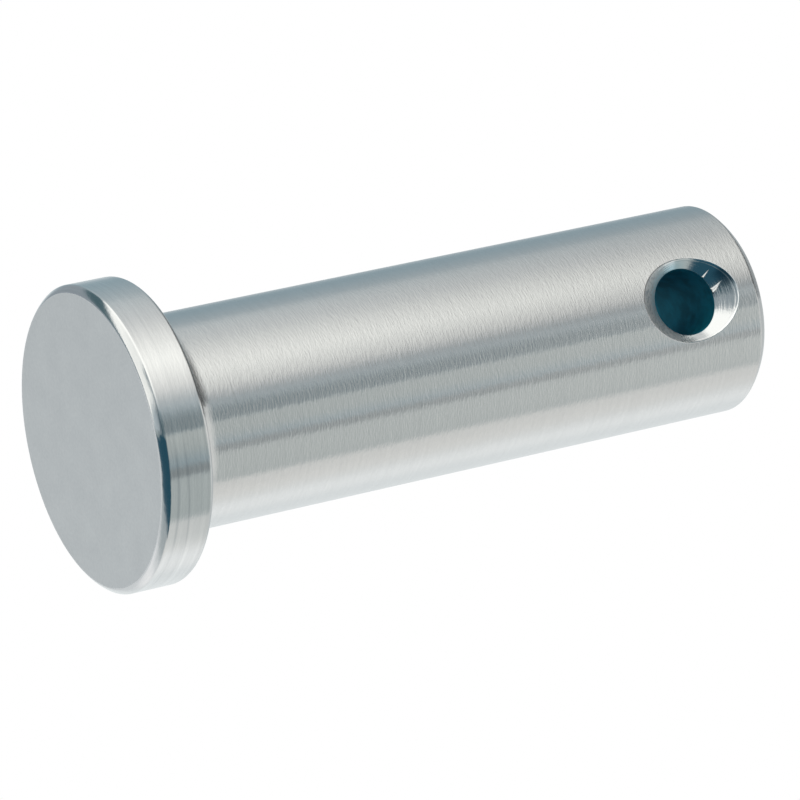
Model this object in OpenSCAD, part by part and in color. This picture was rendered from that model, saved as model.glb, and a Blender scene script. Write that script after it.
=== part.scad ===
// Clevis pin with a flat round head and a countersunk cross hole for a split pin.
// It is turned from round bar as one piece, then cross drilled and countersunk from both sides.
// It stands on its head: the origin is the centre of the head's outer face and the shank points up +Z.
// The cross hole runs along Y.

/* [Head] */
// Diameter of the head
head_d = 14.2; // [13:0.1:24]
// Thickness of the head
head_t = 2.5; // [1.5:0.1:5]
// Chamfer round the head's outer face, across and along the axis
face_chamfer = 0.3; // [0.1:0.05:0.6]
// Radius that breaks the head's edge on the shank side
back_edge_r = 0.2; // [0.05:0.05:0.4]

/* [Shank] */
// Diameter of the shank
shank_d = 10; // [6:0.5:12]
// Length under the head, to the free end
shank_l = 31; // [20:0.5:80]
// Chamfer round the free end, across and along the axis
end_chamfer = 0.5; // [0.2:0.1:1.2]
// Fillet where the shank meets the head, as a share of the flat ledge under the head
neck_fill = 0.7; // [0.1:0.05:0.95]

/* [Cross hole] */
// Diameter of the cross hole
hole_d = 3.2; // [1.6:0.1:4]
// Distance from the free end to the middle of the hole
hole_to_end = 4; // [3.5:0.25:12]
// How far the countersink opens past the hole, on each side of it, at the crown of the shank
sink_w = 0.95; // [0.3:0.05:1.2]
// Full angle of the countersink
sink_angle = 105; // [80:5:120]

/* [Hidden] */
$fn = 96;
head_r = head_d / 2;
shank_r = shank_d / 2;
hole_r = hole_d / 2;
neck_r = neck_fill * (head_r - shank_r - back_edge_r);
total_l = head_t + shank_l;
hole_z = total_l - hole_to_end;
sink_depth = sink_w / tan(sink_angle / 2);
// The cutters reach this far past the metal
overrun = 1;

// Half of the head's section: chamfered on its outer face, its other edge rounded
module head_section() {
    polygon([[0, 0], [head_r - face_chamfer, 0], [head_r, face_chamfer],
             [head_r, head_t - back_edge_r], [head_r - back_edge_r, head_t], [0, head_t]]);
    translate([head_r - back_edge_r, head_t - back_edge_r])
        intersection() {
            circle(r = back_edge_r);
            square(back_edge_r);
        }
}

// Half of the shank's section, from the head to the chamfered free end
module shank_section() {
    polygon([[0, head_t / 2], [shank_r, head_t / 2], [shank_r, total_l - end_chamfer],
             [shank_r - end_chamfer, total_l], [0, total_l]]);
}

// Section of the fillet in the corner between the head and the shank
module neck_section() {
    translate([shank_r, head_t])
        difference() {
            square(neck_r);
            translate([neck_r, neck_r])
                circle(r = neck_r);
        }
}

// The turned blank, before drilling
module blank() {
    rotate_extrude()
        union() {
            head_section();
            shank_section();
            neck_section();
        }
}

// Straight hole right through the shank, along Y
module hole_cutter() {
    rotate([90, 0, 0])
        cylinder(h = shank_d + 2 * overrun, r = hole_r, center = true);
}

// One countersink: the cone leaves the hole below the crown of the shank and opens outwards along +Y
module sink_cutter() {
    slope = tan(sink_angle / 2);
    translate([0, shank_r - sink_depth, 0])
        rotate([-90, 0, 0])
            cylinder(h = sink_depth + overrun, r1 = hole_r, r2 = hole_r + (sink_depth + overrun) * slope);
}

module clevis_pin() {
    color("silver")
        difference() {
            blank();
            translate([0, 0, hole_z]) {
                hole_cutter();
                sink_cutter();
                mirror([0, 1, 0])
                    sink_cutter();
            }
        }
}

clevis_pin();
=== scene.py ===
"""Turned steel clevis pin standing on its head, seen from below its head's edge in a white studio.

Metres, in the frame of the CAD part: the head's face is at z = 0 and the shank points up +Z.
"""

from math import cos, pi, radians, sin, tan

import bpy
from mathutils import Matrix, Vector


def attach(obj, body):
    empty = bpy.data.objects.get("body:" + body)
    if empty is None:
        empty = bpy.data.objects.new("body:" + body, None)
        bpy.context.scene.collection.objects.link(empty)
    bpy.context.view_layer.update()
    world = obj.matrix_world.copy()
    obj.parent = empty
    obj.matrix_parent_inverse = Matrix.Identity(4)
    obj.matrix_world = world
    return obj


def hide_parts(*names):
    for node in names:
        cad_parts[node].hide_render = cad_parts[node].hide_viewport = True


MM = 0.001
DEGREES = 180 / pi

# The pin, as the CAD source has it
HEAD_R = 7.1 * MM
HEAD_T = 2.5 * MM
FACE_CHAMFER = 0.3 * MM
BACK_EDGE_R = 0.2 * MM
SHANK_R = 5.0 * MM
TOTAL_L = 33.5 * MM
END_CHAMFER = 0.5 * MM
NECK_R = 1.33 * MM
HOLE_R = 1.6 * MM
HOLE_Z = 29.5 * MM
SINK_W = 0.95 * MM
SINK_ANGLE = 105.0
SINK_SLOPE = tan(radians(SINK_ANGLE / 2))
SINK_START = SHANK_R - SINK_W / SINK_SLOPE

# How finely the turned shape is cut, and how far the hole's cutter reaches past it
SEGMENTS = 360
CUTTER_SEGMENTS = 256
EDGE_STEPS = 8
NECK_STEPS = 14
SHANK_STEP = 1.0 * MM
NEAR_HOLE = 3.2 * MM
NEAR_HOLE_STEP = 0.1 * MM
SUPPORT = 0.07 * MM
SHORTEST_EDGE = 0.005 * MM
CUTTER_PAST = 1.0 * MM

# How the turned corners are broken, and how far a chamfer swells in its middle
EDGE_BREAK = 0.04 * MM
EDGE_BREAK_STEPS = 3
BREAK_ANGLE = 30
CROWN = 0.02 * MM

# Edges over this angle stay sharp, and a face as upright as this belongs to a flat end
SMOOTH_ANGLE = 35
UPRIGHT = 0.9999

# The finishes in the order in which the pin carries them
SIDES = 0
ENDS = 1
HOLE = 2

# The camera, seen from the pin: round from the front, above the horizon, and turned about its own line
VIEW_TURN = 6.4
VIEW_HEIGHT = -28.17
VIEW_ROLL = 77.68
VIEW_DISTANCE = 245.2 * MM
VIEW_TARGET = (1.158 * MM, 0.13 * MM, 15.88 * MM)
LENS = 238.15
SENSOR = 36.0

# Colours of the steel: turned sides, flat ends, and the walls and bore of the hole, with painted highlights
# and painted shade among them
TURNED_DARK = (0.60, 0.61, 0.61, 1.0)
TURNED_LIGHT = (0.78, 0.785, 0.78, 1.0)
# Painted highlight on one side of the head's rim, and along the hole's lip, where the metal is also worn
# bright
WEAR_AND_PAINTED_HIGHLIGHT = (0.95, 0.95, 0.94, 1.0)
# Painted shade on one side of the head's rim
RIM_PAINTED_SHADE = (0.35, 0.42, 0.45, 1.0)
SCORE_DARK = (0.2, 0.24, 0.27, 1.0)
FACE_DARK = (0.56, 0.575, 0.58, 1.0)
FACE_LIGHT = (0.77, 0.78, 0.77, 1.0)
WALL_CLEAN = (0.68, 0.69, 0.69, 1.0)
# Painted shade deep in the countersink on one side
WALL_PAINTED_SHADE = (0.38, 0.55, 0.62, 1.0)
# A painted dark reflection on the countersink's near side
WALL_PAINTED_REFLECTION = (0.09, 0.15, 0.19, 1.0)
WALL_DULL = (0.46, 0.50, 0.52, 1.0)
# Painted shade: the bore's dark teal, lighter in patches
BORE_SHADE_DARK = (0.009, 0.22, 0.30, 1.0)
BORE_SHADE_LIGHT = (0.02, 0.33, 0.44, 1.0)

# How rough the steel is
SHANK_ROUGH = 0.21
HEAD_ROUGH = 0.17
CHAMFER_ROUGH = 0.12
FACE_ROUGH = 0.48
WALL_ROUGH = 0.15
DULL_WALL_ROUGH = 0.5
BORE_ROUGH = 0.65

# Heights of the fine forms that are bump alone, in millimetres
SHANK_STREAKS = 0.007
HEAD_STREAKS = 0.003
SHANK_GROOVES = 0.0012
HEAD_GROOVES = 0.0032
LIP_FALL = 0.012
FACE_GRAIN = 0.006
TOOL_RINGS = 0.006
WALL_MOTTLE = 0.004
WALL_LIP = -0.01
WALL_STEP = 0.012
WEDGE_H = 0.14
STROKE_H = 0.07

# How many tool rings round the hole there are to a metre
RINGS_A_METRE = 14000.0

# The turned marks run round the pin: a quarter turn from the way the shader takes them to run
MARKS_TURN = 0.25

# The studio
DIM_ROOM = (0.32, 0.42, 0.47, 1.0)
WHITE = (1, 1, 1, 1)
FLOOR_PAINT = (0.9, 0.9, 0.9, 1)
FLOOR_ROUGH = 0.8
FLOOR_SEGMENTS = 96
FLOOR_R = 1.5
FLOOR_GAP = 0.03 * MM
FLOOR_FADE = (0.12, 1.2)
SUN_TURN = (radians(-17), radians(-35), 0.0)
SUN_SPREAD = 50
SUN_STRENGTH = 1.0

# Edges of a panel that don't show, because they lie past the last bearing or the last height
TURN_START = (-182, -181)
TURN_END = (181, 182)
UNDER_ALL = (-92, -91)
OVER_ALL = (91, 92)


class Wire:
    """The output of a shader node, with arithmetic that adds Math nodes."""

    def __init__(self, nodes, socket):
        self.nodes = nodes
        self.socket = socket

    def __add__(self, other):
        return self.nodes.math("ADD", self, other)

    __radd__ = __add__

    def __sub__(self, other):
        return self.nodes.math("SUBTRACT", self, other)

    def __rsub__(self, other):
        return self.nodes.math("SUBTRACT", other, self)

    def __mul__(self, other):
        return self.nodes.math("MULTIPLY", self, other)

    __rmul__ = __mul__

    def __truediv__(self, other):
        return self.nodes.math("DIVIDE", self, other)

    def __rtruediv__(self, other):
        return self.nodes.math("DIVIDE", other, self)

    def __abs__(self):
        return self.nodes.math("ABSOLUTE", self)


class Nodes:
    """The node tree of a material or the world, with one method that adds any node."""

    def __init__(self, owner):
        owner.use_nodes = True
        self.owner = owner
        self.tree = owner.node_tree
        self.tree.nodes.clear()

    def add(self, kind, settings=None, *values, output=0, **named):
        """Settings first, then sockets: values fill the inputs in order and named ones by their names."""
        node = self.tree.nodes.new(kind)
        for name, value in (settings or {}).items():
            setattr(node, name, value)
        sockets = list(enumerate(values))
        sockets += [(name.replace("_", " "), value) for name, value in named.items()]
        for key, value in sockets:
            self.feed(node.inputs[key], value)
        return Wire(self, node.outputs[output]) if node.outputs else None

    def feed(self, socket, value):
        """Links a wire to a socket, or sets the socket's own value."""
        if isinstance(value, Wire):
            self.tree.links.new(value.socket, socket)
        else:
            socket.default_value = value

    def math(self, operation, *values):
        """Works out one number from others."""
        return self.add("ShaderNodeMath", {"operation": operation}, *values)

    def mix(self, factor, first, second):
        """Mixes two colours."""
        settings = {"data_type": "RGBA"}
        return self.add("ShaderNodeMix", settings, output="Result", Factor=factor, A=first, B=second)

    def axis(self, place, name):
        """One coordinate of a place."""
        return self.add("ShaderNodeSeparateXYZ", None, place, output=name)

    def smooth(self, value, low, high):
        """Rises smoothly from 0 at low to 1 at high."""
        settings = {"interpolation_type": "SMOOTHSTEP"}
        return self.add("ShaderNodeMapRange", settings, value, low, high, 0.0, 1.0)

    def band(self, value, start, end):
        """Rises smoothly over start and falls smoothly over end, each a low and a high value."""
        return self.smooth(value, *start) * (1.0 - self.smooth(value, *end))

    def noise(self, place, around, along, detail):
        """Noise with so many spots a millimetre round the pin and along it."""
        scale = (around / MM, around / MM, along / MM)
        stretched = self.add("ShaderNodeMapping", None, place, Scale=scale)
        return self.add("ShaderNodeTexNoise", None, Vector=stretched, Scale=1.0, Detail=detail)


def set_camera():
    """Looks at the pin as the photograph does, with the head's face turned to the viewer."""
    turn = radians(VIEW_TURN)
    height = radians(VIEW_HEIGHT)
    back = Vector((sin(turn) * cos(height), -cos(turn) * cos(height), sin(height)))
    camera = bpy.data.objects.new("camera", bpy.data.cameras.new("camera"))
    bpy.context.scene.collection.objects.link(camera)
    camera.data.lens = LENS
    camera.data.sensor_width = SENSOR
    camera.location = Vector(VIEW_TARGET) + back * VIEW_DISTANCE
    upright = (-back).to_track_quat("-Z", "Y").to_matrix()
    camera.rotation_euler = (upright @ Matrix.Rotation(radians(VIEW_ROLL), 3, "Z")).to_euler()
    bpy.context.scene.camera = camera


def select_none():
    """Leaves edit mode and selects nothing."""
    if bpy.context.object and bpy.context.object.mode != "OBJECT":
        bpy.ops.object.mode_set(mode="OBJECT")
    bpy.ops.object.select_all(action="DESELECT")


def lathe(name, outline, segments):
    """Turns an outline of (radius, height) points round Z by extruding one ring from the next."""
    select_none()
    radius, height = outline[0]
    bpy.ops.mesh.primitive_circle_add(
        vertices=segments, radius=radius, fill_type="NGON", location=(0, 0, height)
    )
    piece = bpy.context.object
    piece.name = name
    bpy.ops.object.transform_apply(location=True)
    bpy.ops.object.mode_set(mode="EDIT")
    bpy.ops.mesh.select_all(action="SELECT")
    for next_radius, next_height in outline[1:]:
        bpy.ops.mesh.extrude_region_move(
            TRANSFORM_OT_translate={"value": (0, 0, next_height - height)}
        )
        grow = next_radius / radius
        bpy.ops.transform.resize(value=(grow, grow, 1), center_override=(0, 0, next_height))
        radius, height = next_radius, next_height
    bpy.ops.mesh.select_all(action="SELECT")
    bpy.ops.mesh.normals_make_consistent(inside=False)
    bpy.ops.object.mode_set(mode="OBJECT")
    return piece


def straight(start, end):
    """A straight stretch of an outline, up to its end, with a ring close to each corner to keep it flat."""
    start = Vector(start)
    end = Vector(end)
    share = SUPPORT / (end - start).length
    return [start, start.lerp(end, share), start.lerp(end, 1 - share)]


def crowned(start, end):
    """A stretch of an outline that swells a little in its middle, up to its end."""
    start = Vector(start)
    end = Vector(end)
    along = end - start
    out = Vector((along.y, -along.x)).normalized()
    share = SUPPORT / along.length
    shares = [share, 0.33, 0.5, 0.67, 1 - share]
    return [start] + [start.lerp(end, part) + out * CROWN * 4 * part * (1 - part) for part in shares]


def arc(centre, radius, first, last, steps):
    """A round stretch of an outline, up to its end, with its angles in degrees."""
    angles = [radians(first + (last - first) * step / steps) for step in range(steps)]
    return [Vector((centre[0] + radius * cos(angle), centre[1] + radius * sin(angle))) for angle in angles]


def shank_rings(start, end):
    """Rings up the shank from start to end, close together where the hole is cut."""
    heights = [start, start + SUPPORT]
    while heights[-1] < end - SUPPORT:
        near = abs(heights[-1] - HOLE_Z) < NEAR_HOLE
        height = heights[-1] + (NEAR_HOLE_STEP if near else SHANK_STEP)
        heights.append(min(height, end - SUPPORT))
    return [Vector((SHANK_R, height)) for height in heights]


def pin_outline():
    """The section of the pin from the head's face up to the free end."""
    face_r = HEAD_R - FACE_CHAMFER
    rim_r = HEAD_R - BACK_EDGE_R
    neck_top = HEAD_T + NECK_R
    shank_top = TOTAL_L - END_CHAMFER
    end_r = SHANK_R - END_CHAMFER
    return [
        Vector((face_r - SUPPORT, 0.0)),
        *crowned((face_r, 0.0), (HEAD_R, FACE_CHAMFER)),
        *straight((HEAD_R, FACE_CHAMFER), (HEAD_R, HEAD_T - BACK_EDGE_R)),
        *arc((rim_r, HEAD_T - BACK_EDGE_R), BACK_EDGE_R, 0, 90, EDGE_STEPS),
        *straight((rim_r, HEAD_T), (SHANK_R + NECK_R, HEAD_T)),
        *arc((SHANK_R + NECK_R, neck_top), NECK_R, -90, -180, NECK_STEPS),
        *shank_rings(neck_top, shank_top),
        *crowned((SHANK_R, shank_top), (end_r, TOTAL_L)),
        Vector((end_r, TOTAL_L)),
        Vector((end_r - SUPPORT, TOTAL_L)),
    ]


def apply_modifier(piece, kind, **settings):
    """Adds a modifier, sets it and applies it."""
    select_none()
    piece.select_set(True)
    bpy.context.view_layer.objects.active = piece
    modifier = piece.modifiers.new(kind.lower(), kind)
    for name, value in settings.items():
        setattr(modifier, name, value)
    bpy.ops.object.modifier_apply(modifier=modifier.name)


def hole_cutter():
    """The drill and both countersinks as one shape along Y."""
    reach = SHANK_R + CUTTER_PAST
    wide = HOLE_R + (reach - SINK_START) * SINK_SLOPE
    outline = [(wide, -reach), (HOLE_R, -SINK_START), (HOLE_R, SINK_START), (wide, reach)]
    cutter = lathe("hole_cutter", outline, CUTTER_SEGMENTS)
    cutter.rotation_euler = (pi / 2, 0, 0)
    cutter.location = (0, 0, HOLE_Z)
    bpy.ops.object.transform_apply(location=True, rotation=True)
    return cutter


def break_edges(pin):
    """Takes the sharpness off the turned corners."""
    apply_modifier(
        pin,
        "BEVEL",
        width=EDGE_BREAK,
        segments=EDGE_BREAK_STEPS,
        limit_method="ANGLE",
        angle_limit=radians(BREAK_ANGLE),
    )


def clean_up(piece):
    """Joins points that the cut left almost on each other, and shades all but the sharp edges smooth."""
    bpy.ops.object.mode_set(mode="EDIT")
    bpy.ops.mesh.select_all(action="SELECT")
    bpy.ops.mesh.remove_doubles(threshold=SHORTEST_EDGE)
    select_none()
    piece.select_set(True)
    bpy.context.view_layer.objects.active = piece
    bpy.ops.object.shade_smooth_by_angle(angle=radians(SMOOTH_ANGLE))


def clevis_pin(finishes):
    """The pin, turned and then drilled, with a finish for its sides, its flat ends and its hole."""
    pin = lathe("clevis_pin_turned", pin_outline(), SEGMENTS)
    break_edges(pin)
    cutter = hole_cutter()
    for finish in finishes:
        pin.data.materials.append(finish)
        cutter.data.materials.append(finish)
    for face in pin.data.polygons:
        face.material_index = ENDS if abs(face.normal.z) > UPRIGHT else SIDES
    for face in cutter.data.polygons:
        face.material_index = HOLE
    apply_modifier(
        pin, "BOOLEAN", object=cutter, operation="DIFFERENCE", solver="EXACT", material_mode="INDEX"
    )
    bpy.data.objects.remove(cutter)
    clean_up(pin)
    return pin


def new_finish(name):
    """The nodes of a new material, and the place on the object that is being shaded."""
    nodes = Nodes(bpy.data.materials.new(name))
    return nodes, nodes.add("ShaderNodeTexCoord", output="Object")


def steel(nodes, relief, **sockets):
    """Ends a material as metal with a relief in millimetres."""
    bump = nodes.add("ShaderNodeBump", None, Strength=1.0, Distance=MM, Height=relief)
    surface = nodes.add("ShaderNodeBsdfPrincipled", None, Metallic=1.0, Normal=bump, **sockets)
    nodes.add("ShaderNodeOutputMaterial", None, surface)
    return nodes.owner


class HolePlace:
    """Where a place on the pin lies, seen from the middle of the cross hole."""

    def __init__(self, nodes, place):
        self.nodes = nodes
        self.across = nodes.axis(place, "X")
        self.through = nodes.axis(place, "Y")
        self.up = nodes.axis(place, "Z") - HOLE_Z
        self.out = abs(self.through)
        self.radius = nodes.math("SQRT", self.across * self.across + self.up * self.up)

    def past_lip(self):
        """How far a place on the shank is from the countersink's edge."""
        return self.radius - HOLE_R - (self.out - SINK_START) * SINK_SLOPE

    def depth(self):
        """How far under the shank's surface a place is."""
        return SHANK_R - self.nodes.math("SQRT", self.across * self.across + self.out * self.out)

    def turn(self):
        """The angle round the hole in degrees, from the free end's side."""
        return self.nodes.math("ARCTAN2", self.across * -1.0, self.up) * DEGREES


def rim_highlight_and_shade(nodes, place, rim, tone):
    """The head's rim: a painted highlight on one side and painted shade on the other, where its scores show
    most.
    """
    side = nodes.axis(place, "X") * -1.0
    # A painted highlight on one side of the rim, weaker further round
    painted_highlight = nodes.smooth(side, -1.2 * MM, 0.0) * rim
    painted_highlight = painted_highlight * (1.0 - nodes.smooth(side, 1.8 * MM, 3.2 * MM) * 0.5)
    tone = nodes.mix(painted_highlight * 0.34, tone, WEAR_AND_PAINTED_HIGHLIGHT)
    # Painted shade on the rim's other side
    darker_side = nodes.band(side, (-6.1 * MM, -5.5 * MM), (-2.6 * MM, -1.4 * MM)) * rim
    tone = nodes.mix(darker_side * 0.3, tone, RIM_PAINTED_SHADE)
    # Tool scores round the rim, drawn darker where the painted shade lies
    scores = nodes.noise(place, around=0.02, along=0.7, detail=0.0)
    score = 1.0 - nodes.smooth(abs(scores - 0.5), 0.0, 0.02)
    return nodes.mix(score * (rim * 0.05 + darker_side * 0.2), tone, SCORE_DARK)


def turned_steel():
    """Bright turned steel: fine tool marks run round the pin and stretch its reflections along it."""
    nodes, place = new_finish("turned_steel")
    along = nodes.axis(place, "Z")
    head = 1.0 - nodes.smooth(along, HEAD_T - 0.1 * MM, HEAD_T + 0.1 * MM)
    chamfer = 1.0 - nodes.smooth(along, 0.9 * FACE_CHAMFER, 1.15 * FACE_CHAMFER)
    to_lip = HolePlace(nodes, place).past_lip()
    streaks = nodes.noise(place, around=3.5, along=14.0, detail=1.0)
    grooves = nodes.noise(place, around=0.08, along=6.0, detail=2.0)
    relief = streaks * (SHANK_STREAKS + head * (HEAD_STREAKS - SHANK_STREAKS))
    relief = relief + grooves * (SHANK_GROOVES + head * (HEAD_GROOVES - SHANK_GROOVES))
    relief = relief + nodes.smooth(to_lip, -0.01 * MM, 0.05 * MM) * LIP_FALL
    shade = (grooves - 0.5) * (0.3 + head) + (streaks - 0.5) * 0.3
    tone = nodes.mix(0.5 + shade, TURNED_DARK, TURNED_LIGHT)
    # The shank turns lighter towards the hole's lip: wear, and a painted highlight
    tone = nodes.mix(0.6 - nodes.smooth(to_lip, 0.0, 0.08 * MM) * 0.6, tone, WEAR_AND_PAINTED_HIGHLIGHT)
    tone = rim_highlight_and_shade(nodes, place, head * (1.0 - chamfer), tone)
    rough = SHANK_ROUGH + head * (HEAD_ROUGH - SHANK_ROUGH) + chamfer * (CHAMFER_ROUGH - HEAD_ROUGH)
    return steel(
        nodes,
        relief,
        Base_Color=tone,
        Roughness=rough,
        Anisotropic=1.0,
        Anisotropic_Rotation=MARKS_TURN,
    )


def faced_steel():
    """The flat ends: matt, with a faint mottle."""
    nodes, place = new_finish("faced_steel")
    mottle = nodes.noise(place, around=0.6, along=0.6, detail=5.0)
    grain = nodes.noise(place, around=6.0, along=6.0, detail=3.0)
    tone = nodes.mix(mottle * 0.5 + grain * 0.5, FACE_DARK, FACE_LIGHT)
    return steel(nodes, grain * FACE_GRAIN, Base_Color=tone, Roughness=FACE_ROUGH)


def nick(nodes, turn, radius, start, end, point, reach):
    """How high a nick in the hole's mouth stands: it runs out from start and end degrees to a point."""
    taper = 1.0 - nodes.smooth(radius, HOLE_R, reach)
    low = point + (start - point) * taper
    share = (turn - low) / ((end - start) * taper + 0.01)
    return nodes.band(share, (-0.2, 0.0), (0.0, 1.0)) * taper


def drilled_relief(nodes, hole, depth, turn, mottle, near):
    """Tool rings, the rounded lip with a fine ring inside it, and two nicks on the near side."""
    settings = {"noise_dimensions": "1D"}
    rings = nodes.add("ShaderNodeTexNoise", settings, W=hole.radius, Scale=RINGS_A_METRE, Detail=1.0)
    lip = nodes.smooth(depth, -0.01 * MM, 0.03 * MM) * WALL_LIP
    step = nodes.smooth(depth, 0.08 * MM, 0.12 * MM) * WALL_STEP
    wedge = nick(nodes, turn, hole.radius, start=5, end=14, point=16, reach=2.15 * MM) * WEDGE_H
    stroke = nick(nodes, turn, hole.radius, start=35, end=38.5, point=38, reach=2.02 * MM) * STROKE_H
    return rings * TOOL_RINGS + mottle * WALL_MOTTLE + lip + step + (wedge + stroke) * near


def wall_tone(nodes, hole, depth, turn, mottle, facing, darker_side):
    """The countersink's colour: painted shade deep inside on one side, a painted dark reflection, a darker
    mottled side and a worn lip with a painted highlight.
    """
    deep = 1.0 - nodes.smooth(hole.radius, HOLE_R, HOLE_R + 0.6 * MM)
    # Painted shade deep in the countersink, towards the head and the -X side
    deep_shade = deep * nodes.smooth(hole.across * -0.6 - hole.up * 0.8, 0.2 * MM, 1.3 * MM)
    # A painted dark reflection on the countersink's near side, away from the bore
    dark_reflection = nodes.band(turn, (4, 14), (26, 36)) * facing
    dark_reflection = dark_reflection * nodes.smooth(hole.radius, 1.75 * MM, 2.25 * MM)
    # The countersink's lip is worn and lightened by a painted highlight, less so inside the painted dark
    # reflection
    edge = 1.0 - nodes.smooth(depth, 0.03 * MM, 0.07 * MM)
    tone = nodes.mix(deep_shade, WALL_CLEAN, WALL_PAINTED_SHADE)
    tone = nodes.mix(dark_reflection * 0.75, tone, WALL_PAINTED_REFLECTION)
    tone = nodes.mix(darker_side * nodes.smooth(mottle, 0.45, 0.62), tone, WALL_DULL)
    return nodes.mix(edge * (0.6 - dark_reflection * 0.5), tone, WEAR_AND_PAINTED_HIGHLIGHT)


def drilled_steel():
    """The hole and its countersinks: tool rings round the hole, bright outside, and dark teal down the
    bore, which is painted shade.
    """
    nodes, place = new_finish("drilled_steel")
    hole = HolePlace(nodes, place)
    depth = hole.depth()
    turn = hole.turn()
    mottle = nodes.noise(place, around=7.0, along=7.0, detail=3.0)
    bright = nodes.smooth(hole.out, SINK_START - 0.02 * MM, SINK_START + 0.02 * MM)
    facing = 1.0 - nodes.smooth(hole.through, -MM, 0.0)
    darker_side = 1.0 - nodes.smooth(hole.up, -1.6 * MM, -0.2 * MM)
    relief = drilled_relief(nodes, hole, depth, turn, mottle, facing * bright)
    patches = nodes.smooth(nodes.noise(place, around=1.3, along=1.3, detail=3.0), 0.35, 0.65)
    # The bore's dark teal is painted shade
    bore = nodes.mix(patches, BORE_SHADE_DARK, BORE_SHADE_LIGHT)
    wall = wall_tone(nodes, hole, depth, turn, mottle, facing, darker_side)
    wall_rough = WALL_ROUGH + darker_side * (DULL_WALL_ROUGH - WALL_ROUGH)
    rough = BORE_ROUGH + bright * (wall_rough - BORE_ROUGH)
    return steel(nodes, relief, Base_Color=nodes.mix(bright, bore, wall), Roughness=rough)


class Studio(Nodes):
    """The light round the pin: a dim room with soft panels laid over it in turn.

    A bearing runs round the pin from the viewer's side, from -180 to 180 degrees, and a height is above
    or below the horizon. Each edge of a panel fades between its two values.
    """

    def __init__(self, world):
        super().__init__(world)
        way = self.add("ShaderNodeTexCoord", output="Generated")
        turn = radians(VIEW_TURN)
        near = self.towards(way, (sin(turn), -cos(turn), 0.0))
        over = self.towards(way, (-cos(turn), -sin(turn), 0.0))
        up = self.towards(way, (0.0, 0.0, 1.0))
        self.height = self.math("ARCSINE", up) * DEGREES
        self.bearing = self.math("ARCTAN2", over, near) * DEGREES
        self.room = DIM_ROOM

    def towards(self, way, axis):
        """How far a way points along an axis."""
        return self.add("ShaderNodeVectorMath", {"operation": "DOT_PRODUCT"}, way, axis, output="Value")

    def panel(self, tint, start, end, low=UNDER_ALL, high=OVER_ALL):
        """Lays a panel over the room, between two bearings and two heights."""
        mask = self.band(self.bearing, start, end) * self.band(self.height, low, high)
        self.room = self.mix(mask, self.room, (*tint, 1.0))


def standing_panels(studio):
    """Panels as high as the room, all round the pin."""
    studio.panel((0.75, 0.76, 0.76), (0, 30), (64, 150))
    studio.panel((1.34, 1.34, 1.29), (12, 50), (46, 90))
    studio.panel((0.93, 0.92, 0.89), (-160, -150), (-75, -72))
    studio.panel((0.91, 0.95, 0.96), (150, 180), TURN_END)
    studio.panel((0.91, 0.95, 0.96), TURN_START, (-124, -84))
    studio.panel((1.06, 1.08, 1.08), (-136, -120), (-114, -98))
    studio.panel((0.57, 0.61, 0.595), (-75, -72), (-41, -39))
    studio.panel((0.27, 0.30, 0.305), (-41, -39), (-35, -30))
    studio.panel((0.48, 0.53, 0.52), (-36, -18), (-9, -6))
    studio.panel((0.15, 0.21, 0.235), (-9, -6), (0, 15))


def overhead_panels(studio):
    """Panels that start well above the horizon."""
    studio.panel((0.20, 0.23, 0.24), (-1, 0), (120, 150), low=(29, 42))
    studio.panel((0.40, 0.43, 0.44), (120, 150), TURN_END, low=(36, 62))
    studio.panel((0.60, 0.63, 0.64), TURN_START, (-140, -120), low=(40, 60))
    studio.panel((0.78, 0.79, 0.79), (-140, -120), (-1, 0), low=(33, 41))
    studio.panel((0.07, 0.07, 0.07), (4, 16), (70, 100), low=(34, 40))
    studio.panel((0.95, 0.95, 0.93), (-80, -72), (9, 19), low=(31, 39), high=(60, 70))


def low_panels(studio):
    """Panels that end near the horizon or under it."""
    studio.panel((1.42, 1.42, 1.37), (8, 36), (101, 111), high=(8, 20))
    studio.panel((0.52, 0.59, 0.63), (-9, -5), (28, 40), high=(-60, -54))
    studio.panel((1.22, 1.23, 1.19), (14, 42), (72, 112), high=(-36, -28))
    studio.panel((0.34, 0.40, 0.43), (-2, 8), (44, 58), low=(-54, -48), high=(-34, -27))
    studio.panel((0.02, 0.07, 0.10), (-14, -12), (10, 26), low=(-56, -50), high=(-46, -40))
    studio.panel((0.09, 0.16, 0.185), (107, 113), (129, 140), high=(-12, 0))
    studio.panel((0.34, 0.39, 0.43), (126, 138), (165, 181), high=(0, 12))
    studio.panel((0.80, 0.83, 0.85), (165, 180), TURN_END, high=(-8, 4))
    studio.panel((0.80, 0.83, 0.85), TURN_START, (-132, -88), high=(-8, 4))
    studio.panel((1.04, 1.05, 1.06), (-150, -134), (-128, -118), high=(-8, 4))
    studio.panel((0.47, 0.52, 0.54), (-122, -104), (-80, -72), high=(-30, 0))
    studio.panel((0.68, 0.71, 0.73), (140, 180), TURN_END, high=(-54, -40))
    studio.panel((0.68, 0.71, 0.73), TURN_START, (-135, -105), high=(-54, -40))
    studio.panel((0.025, 0.09, 0.135), (-90, -78), (-11, -6), low=(-72, -66), high=(-2, 14))
    studio.panel((0.025, 0.09, 0.135), (-76, -66), (-24, -12), high=(-66, -60))


def set_studio():
    """White behind the pin for the camera, and the room with its panels for everything else."""
    world = bpy.data.worlds.new("studio")
    bpy.context.scene.world = world
    studio = Studio(world)
    standing_panels(studio)
    overhead_panels(studio)
    low_panels(studio)
    seen = studio.add("ShaderNodeLightPath", output="Is Camera Ray")
    colour = studio.mix(seen, studio.room, WHITE)
    background = studio.add("ShaderNodeBackground", None, colour, 1.0)
    studio.add("ShaderNodeOutputWorld", None, background)


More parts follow.
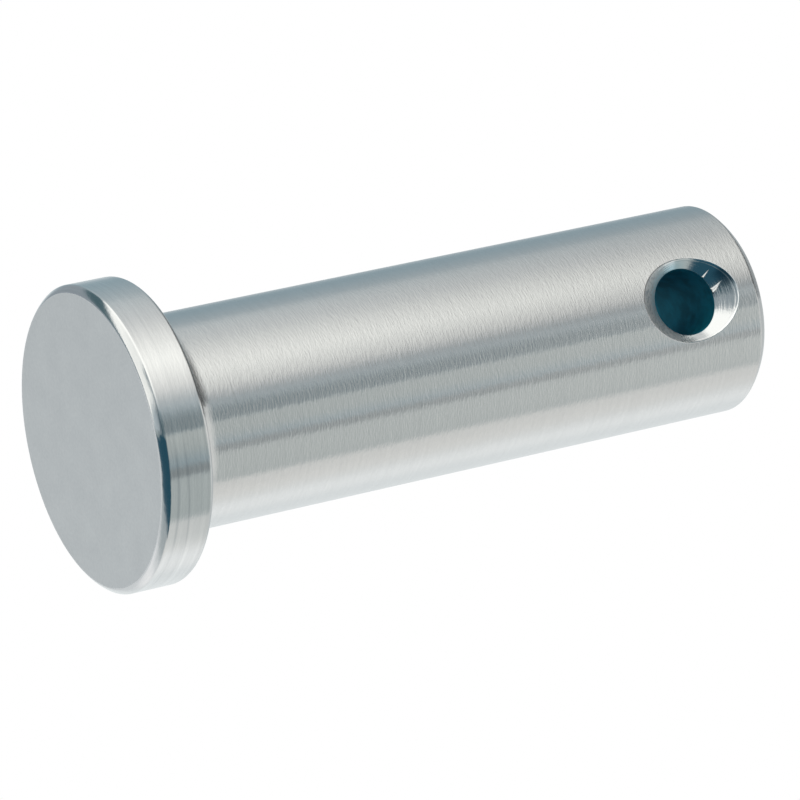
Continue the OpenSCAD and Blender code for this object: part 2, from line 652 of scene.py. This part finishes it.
def pale_floor():
    """Matt paint that fades out far from the pin, and is clear from below, where the camera stands."""
    nodes, place = new_finish("pale_floor")
    paint = nodes.add("ShaderNodeBsdfPrincipled", None, FLOOR_PAINT, Roughness=FLOOR_ROUGH)
    clear = nodes.add("ShaderNodeBsdfTransparent")
    from_below = nodes.add("ShaderNodeNewGeometry", output="Backfacing")
    away = nodes.add("ShaderNodeVectorMath", {"operation": "LENGTH"}, place, output="Value")
    faded = nodes.math("MAXIMUM", from_below, nodes.smooth(away, *FLOOR_FADE))
    surface = nodes.add("ShaderNodeMixShader", None, faded, paint, clear)
    nodes.add("ShaderNodeOutputMaterial", None, surface)
    return nodes.owner


def set_floor():
    """A pale floor just under the head, which fades into the white background far behind the pin."""
    select_none()
    bpy.ops.mesh.primitive_circle_add(
        vertices=FLOOR_SEGMENTS, radius=FLOOR_R, fill_type="NGON", location=(0, 0, -FLOOR_GAP)
    )
    floor = bpy.context.object
    floor.name = "floor"
    floor.data.materials.append(pale_floor())
    floor.visible_shadow = False
    floor.visible_glossy = False


def set_sun():
    """A very soft sun from the upper left that lights the floor."""
    select_none()
    bpy.ops.object.light_add(type="SUN", rotation=SUN_TURN)
    sun = bpy.context.object
    sun.name = "sun"
    sun.data.angle = radians(SUN_SPREAD)
    sun.data.energy = SUN_STRENGTH
    sun.visible_glossy = False


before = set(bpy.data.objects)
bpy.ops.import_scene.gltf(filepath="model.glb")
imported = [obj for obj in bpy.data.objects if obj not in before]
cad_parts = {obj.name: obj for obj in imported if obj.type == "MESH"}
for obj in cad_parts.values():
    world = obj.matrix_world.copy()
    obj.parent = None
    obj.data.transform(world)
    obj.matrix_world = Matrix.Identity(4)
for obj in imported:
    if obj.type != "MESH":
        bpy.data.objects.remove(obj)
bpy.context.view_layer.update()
set_camera()
set_studio()
set_floor()
set_sun()
pin = clevis_pin([turned_steel(), faced_steel(), drilled_steel()])
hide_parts("clevis_pin")
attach(pin, "root")
bpy.context.scene.view_settings.view_transform = "Standard"
